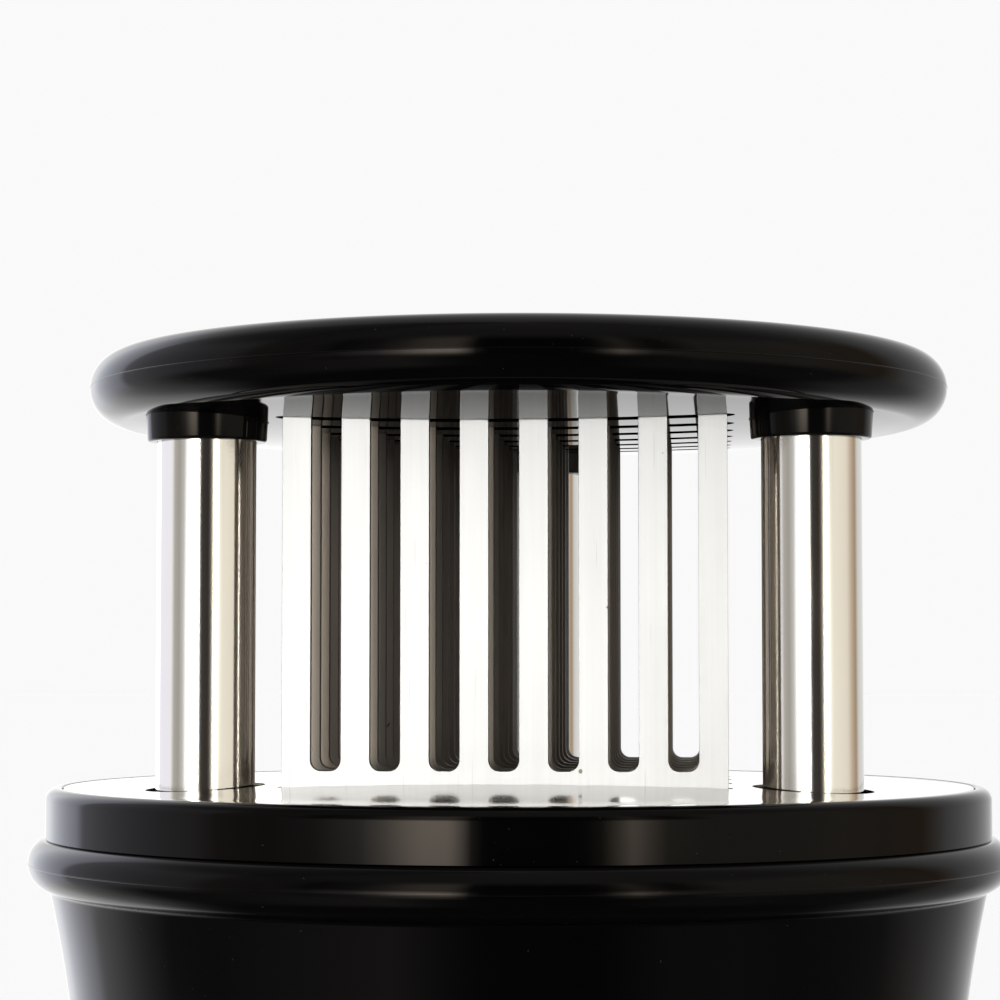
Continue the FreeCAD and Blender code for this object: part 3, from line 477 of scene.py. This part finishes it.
def brushed_steel(name):
    """Stainless brushed along the blade, with scores and grease spots; the cut edges and side walls
    are painted dark as painted shade.

    The five inner combs are painted darker and browner than the two outer ones, as painted shade
    between the combs.
    """
    finish = Finish(name, metallic=1.0, anisotropic=0.8)
    grain = finish.noise(9000, 9000, 60, detail=4.0, roughness=0.7)
    streak = finish.noise(2200, 2200, 25, detail=2.0)
    haze = finish.noise(120, 120, 60, detail=3.0)
    score = finish.eased(finish.noise(5200, 5200, 120, detail=0.0), 0.76, 0.82)
    spot = finish.eased(finish.noise(1100, 1100, 1100, detail=0.0), 0.865, 0.875)
    # Painted shade: the five inner combs are blended towards a dark brown, as if shaded between the
    # combs.
    place = finish.add("ShaderNodeTexCoord", output="Object")
    from_middle = finish.add("ShaderNodeSeparateXYZ", {0: place}, output=1) - middle_row * MM
    inner_comb_shade = finish.eased(from_middle.maths("ABSOLUTE"), inner_shade_start * MM, inner_shade_end * MM, 1.0, 0.0)
    # Painted shade: faces that turn away from the front and back, the cut edges and side walls, are
    # coloured near black.
    facing = finish.add("ShaderNodeTexCoord", output="Normal")
    facing_y = finish.add("ShaderNodeSeparateXYZ", {0: facing}, output=1)
    clear_of_edge_shade = finish.eased(facing_y.maths("ABSOLUTE"), 0.5, 0.8)
    wear = streak * 0.6 + haze * 0.3
    bright = finish.blend(wear, (0.55, 0.59, 0.62), (0.46, 0.495, 0.52))
    tint = finish.blend(inner_comb_shade, bright, (0.35, 0.32, 0.28))
    marked = finish.blend(spot * 0.8, tint, (0.12, 0.08, 0.04))
    scored = finish.blend(score * 0.35, marked, (0.24, 0.235, 0.23))
    finish.set("Base Color", finish.blend(clear_of_edge_shade, (0.12, 0.1, 0.08), scored))
    finish.set("Roughness", 0.34 + grain * 0.08 + haze * 0.04)
    finish.bump(grain + streak * 0.6, 0.002)
    return finish


blade_steel = brushed_steel("blade_steel")
for number, row in enumerate(comb_rows, start=1):
    blade_row = copied(comb, f"blade_comb_{number}", 0.0, row)
    blade_steel.onto(blade_row)
    finish_as(blade_row, "handle", "blade_steel", f"comb_{number}")
bpy.data.objects.remove(comb)


# ---------------------------------------------------------------- guide tubes
# Three drawn stainless tubes, polished bright. They are pushed into the guard and slide in
# the head's bushes; their ends are cut square and deburred.
tube_wall, deburr = 0.9, 0.12
tube_foot, tube_top = tube_boxes[0][0].z, tube_boxes[0][1].z
tube_bore = tube_radius - tube_wall
outline = [(tube_bore + deburr, tube_foot), (tube_radius - deburr, tube_foot),
           (tube_radius, tube_foot + deburr), (tube_radius, tube_top - deburr),
           (tube_radius - deburr, tube_top), (tube_bore + deburr, tube_top),
           (tube_bore, tube_top - deburr), (tube_bore, tube_foot + deburr)]
even_grain = (8000, 8000, 8000)
tube_steel = polished_steel("tube_steel", (0.86, 0.84, 0.79), 0.06, 0.12, even_grain, 0.004)
for number, place in enumerate(tube_places, start=1):
    tube = turned(f"tube_{number}", outline, 160, place)
    tube_steel.onto(tube)
    finish_as(tube, "guard", "tube_steel", f"guide_tube_{number}")


# ---------------------------------------------------------------- return springs
# Each spring is round hard-drawn wire with a closed turn at each end. It stands in its tube, on
# top of a post. The real spring is squeezed to about a third of its length when the guard is
# pressed; here the coil is built at its full length only.
spring_low, spring_high = corners("return_spring_1")
wire, spring_turns, turn_steps, press_travel = 0.65, 9, 28, 34.5
spring_foot = spring_low.z
spring_length = spring_high.z - spring_foot
coil_radius = (spring_high.x - spring_low.x) / 2 - wire / 2
open_rise = (spring_length - 3 * wire) / (spring_turns - 2)
points = []
for step in range(spring_turns * turn_steps + 1):
    turns = step / turn_steps
    opened = min(max(turns - 1, 0), spring_turns - 2)
    rise = wire / 2 + opened * open_rise + (turns - opened) * wire
    points.append((*on_circle((0.0, 0.0), coil_radius, 360 * turns), spring_foot + rise))
coil = traced("spring_blank", points)
bpy.ops.object.mode_set(mode="OBJECT")
bpy.ops.object.convert(target="CURVE")
coil = bpy.context.object
coil.data.bevel_depth, coil.data.bevel_resolution = wire / 2 * MM, 2
coil.data.use_fill_caps = True
bpy.ops.object.convert(target="MESH")
coil = bpy.context.object
bpy.ops.object.mode_set(mode="EDIT")
closed(coil, 60)
drawn_grain = (1800, 1800, 1800)
spring_steel = polished_steel("spring_steel", (0.55, 0.54, 0.52), 0.18, 0.34, drawn_grain, 0.0012)
for number, place in enumerate(tube_places, start=1):
    spring = copied(coil, f"spring_coil_{number}", *place)
    spring_steel.onto(spring)
    finish_as(spring, "handle", "spring_steel", f"return_spring_{number}")
    place[0] * MM
    place[1] * MM
    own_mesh(spring)
bpy.data.objects.remove(coil)


# ---------------------------------------------------------------- collars
# A moulded black collar at the top of each tube, seated in the guard; its side has draft
# towards the foot, and it is a shade greyer than the guard itself.
collar_low, collar_high = corners("collar_1")
collar_radius = (collar_high.x - collar_low.x) / 2
collar_foot, collar_top = collar_low.z, collar_high.z
draft, foot_break, collar_bore = 0.15, 0.3, tube_radius + fit
foot_radius = collar_radius - draft
break_centre = (foot_radius - foot_break, collar_foot + foot_break)
outline = [(collar_bore, collar_foot), (break_centre[0], collar_foot)]
outline += arc(break_centre, outline[-1], (foot_radius, break_centre[1]), 5)[1:]
outline += [(collar_radius, collar_top), (collar_bore, collar_top)]
collar_black = glossy_black("collar_black", (0.003, 0.003, 0.003))
for number, place in enumerate(tube_places, start=1):
    collar = turned(f"tube_collar_{number}", outline, 128, place)
    collar_black.onto(collar)
    finish_as(collar, "guard", "collar_black", f"collar_{number}")


# ---------------------------------------------------------------- guard disc
# The blade guard is one glossy black moulding with a half-round edge and a slightly domed inner
# face. It has a slot for each comb, and sockets, seats and countersinks for the three tubes.
disc_low, disc_high = corners("guard_disc")
guard_radius, disc_top, disc_crown = disc_high.x, disc_high.z, disc_low.z
edge_round, dome_rise = 3.68, 1.5
flat_radius = guard_radius - edge_round
dome_foot = disc_crown + dome_rise
dome_centre = (0.0, disc_crown + (flat_radius**2 + dome_rise**2) / (2 * dome_rise))
edge = (flat_radius, dome_foot + edge_round)
# The edge's parting line, finer than the bead's.
parting_rise, crest_turn, foot_turn = 0.03, 0.35, 0.9
parting_foot = [on_circle(edge, edge_round, turn) for turn in (-foot_turn, foot_turn)]
outline = arc(dome_centre, (0.0, disc_crown), (flat_radius, dome_foot), 24)
outline += arc(edge, (flat_radius, dome_foot), parting_foot[0], 24)[1:]
outline += [on_circle(edge, edge_round + parting_rise, turn) for turn in (-crest_turn, crest_turn)]
outline += arc(edge, parting_foot[1], (flat_radius, disc_top), 24)
outline += [(0.0, disc_top)]
guard = turned("guard_moulding", outline)
slot_half = 1.3
cutters = comb_slots("guard_slot", 0.8, slot_half, slot_half, disc_crown - past, 12.0, 10)
screw_bore, screw_head, countersink = 1.75, 3.95, 2.4
collar_seat, tube_socket, below = collar_radius + fit, tube_radius + fit, disc_crown - 2 * past
outline = [(0.0, below), (collar_seat, below), (collar_seat, collar_top),
           (tube_socket, collar_top), (tube_socket, tube_top), (screw_bore, tube_top),
           (screw_bore, disc_top - countersink), (screw_head, disc_top),
           (screw_head, disc_top + past), (0.0, disc_top + past)]
for number, place in enumerate(tube_places):
    cutters.append(turned(f"tube_seat_{number}", outline, 96, place))
cut_out(guard, *cutters)
guard_black = glossy_black("guard_black", (0.0011, 0.0011, 0.0013))
guard_black.onto(guard)
finish_as(guard, "guard", "gloss_black", "guard_disc")


# ---------------------------------------------------------------- inner pieces
# Carrier, rods, screws, bushes, posts, inserts and stop rings keep their CAD shape. They are
# moulded plastic, drawn steel and turned brass.
def moulded(name, tint, roughness, depth):
    """Moulded plastic: a fine even grain in colour, sheen and surface."""
    finish = Finish(name)
    grain = finish.noise(2600, 2600, 2600, detail=3.0)
    cloud = finish.noise(140, 140, 140, detail=2.0)
    mottle = grain * 0.6 + cloud * 0.3
    finish.set("Base Color", finish.blend(mottle, tint, [value * 0.72 for value in tint]))
    finish.set("Roughness", roughness + grain * 0.12)
    finish.bump(grain, depth)
    return finish


def three(name):
    return [f"{name}_{number}" for number in (1, 2, 3)]


inner_finishes = {
    moulded("carrier_grey", (0.16, 0.16, 0.165), 0.42, 0.004): ["blade_carrier"],
    moulded("bush_black", (0.012, 0.012, 0.013), 0.35, 0.002): three("guide_bush"),
    moulded("stop_black", (0.016, 0.016, 0.016), 0.45, 0.003): three("stop_ring"),
    moulded("post_white", (0.72, 0.71, 0.68), 0.38, 0.003): three("spring_post"),
    polished_steel("insert_brass", (0.80, 0.60, 0.30), 0.18, 0.34, drawn_grain, 0.0012):
        three("tube_insert"),
    polished_steel("fastener_steel", (0.70, 0.69, 0.67), 0.14, 0.28, drawn_grain, 0.0012):
        ["deck_screws", "carrier_screws", "guard_screws", "carrier_rod_left", "carrier_rod_right"],
}
for finish, nodes in inner_finishes.items():
    finish.onto(*[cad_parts[node] for node in nodes])


# ---------------------------------------------------------------- studio
# A pale floor under a white sweep. The room that the gloss reflects is bright behind the tool,
# with two upright soft boxes beside the camera and dark cloth round the lens.
bpy.ops.object.select_all(action="DESELECT")
bpy.ops.mesh.primitive_circle_add(vertices=96, radius=8.0, fill_type="NGON")
floor = bpy.context.object
floor.name = "studio_floor"
floor.visible_glossy = False
bpy.ops.object.light_add(type="SUN", rotation=(0.0, 0.0, 0.0))
fill = bpy.context.object
fill.data.energy, fill.data.angle = 1.2, math.radians(80)
fill.visible_glossy = False
pale = Finish("floor_pale", roughness=0.9, specular_ior_level=0.0)
pale.set("Base Color", (0.853, 0.858, 0.864, 1.0))
pale.onto(floor)

camera = bpy.data.objects.new("camera", bpy.data.cameras.new("camera"))
bpy.context.scene.collection.objects.link(camera)
upward_tilt, turn_left = 0.057, 0.070
camera.location = (0.01985, -0.31134, 0.08297)
camera.rotation_euler = (math.pi / 2 + upward_tilt, 0.0, turn_left)
camera.data.lens = 103.57
camera.data.sensor_width = 36.0
camera.data.clip_start = 0.01
bpy.context.scene.camera = camera

room = bpy.data.worlds.new("studio")
bpy.context.scene.world = room
air = Finish("studio", owner=room)
direction = air.add("ShaderNodeTexCoord", output="Generated")
axes = air.add("ShaderNodeSeparateXYZ", {0: direction})
x, y, z = (Wire(air, axes.socket.node.outputs[axis]) for axis in "XYZ")
around = x.maths("ARCTAN2", y * -1.0) / math.tau + 0.5


def panorama(*rows):
    """Brightness round the room; each stop is a bearing from the camera's side, and a colour."""
    stops = []
    for bearing, level in rows:
        colour = level if isinstance(level, tuple) else (level, level, level)
        stops.append(((bearing + 180.0) / 360.0, colour))
    return air.add("ShaderNodeValToRGB", {0: around}, stops=stops)


# Walls and soft boxes at eye level: back, left wall, left box, lens, right box, right wall, back.
level = panorama(
    (-180, 1.2), (-158, 1.45), (-150, (1.95, 2.0, 2.15)), (-126, (1.95, 2.0, 2.3)),
    (-122, (1.0, 1.0, 1.12)), (-82, (1.0, 0.99, 1.1)), (-77, (0.95, 0.94, 0.98)),
    (-70, (0.5, 0.48, 0.45)), (-56, (0.4, 0.38, 0.36)), (-44, 0.68),
    (-33, 2.0), (-27, (5.2, 4.9, 4.6)), (-22, (9.8, 9.0, 8.2)), (-18, (12.5, 11.4, 10.4)),
    (-12, (12.5, 11.4, 10.4)), (-9, (5.5, 5.1, 4.7)), (-7, 0.8),
    (-4, 0.05), (14, (0.04, 0.03, 0.024)), (19, 0.12),
    (23, (0.6, 0.55, 0.45)), (27, (3.4, 3.1, 2.7)), (30, (6.2, 5.6, 4.9)), (34, (3.2, 2.9, 2.6)),
    (38, (1.3, 1.25, 1.1)), (47, (0.98, 0.93, 0.82)), (84, (0.87, 0.80, 0.69)),
    (97, (0.6, 0.5, 0.4)), (113, (0.4, 0.28, 0.18)), (125, 0.7), (162, 0.85), (180, 1.2))
table = panorama(
    (-180, 1.2), (-140, 1.8), (-126, 1.3), (-112, 1.0), (-102, 0.55), (-92, 0.2), (-76, 0.22),
    (-42, 0.55), (-28, 0.7), (-16, 0.3), (-5, 0.08), (24, 0.05), (42, 0.3), (60, 0.3), (75, 0.2),
    (104, 0.2), (116, 0.45), (140, 0.5), (165, 1.2), (180, 1.2))
ceiling = panorama(
    (-180, 0.95), (-130, 0.9), (-108, 0.42), (-70, 0.3), (-40, 0.55), (30, 0.6), (90, 0.45),
    (120, 0.65), (180, 0.95))
# The boxes are brightest at eye level and fade towards their ends.
box_ends = air.eased(z.maths("ABSOLUTE"), 0.0, 0.25)
beside_lens = panorama((-54, 0.0), (-44, 1.0), (42, 1.0), (52, 0.0))
black = (0.0, 0.0, 0.0)
faded = air.blend(box_ends * beside_lens, level, air.blend(0.8, level, black))
below_table = air.blend(air.eased(z, -0.82, -0.6), (0.08, 0.08, 0.08), table)
middle = air.blend(air.eased(z, -0.36, -0.10), below_table, faded)
lit = air.blend(air.eased(z, 0.48, 0.76), middle, ceiling)
straight = air.add("ShaderNodeLightPath", output="Is Camera Ray")
air.set("Color", air.blend(straight, lit, (0.95, 0.95, 0.95)))
bpy.context.scene.view_settings.view_transform = "Standard"
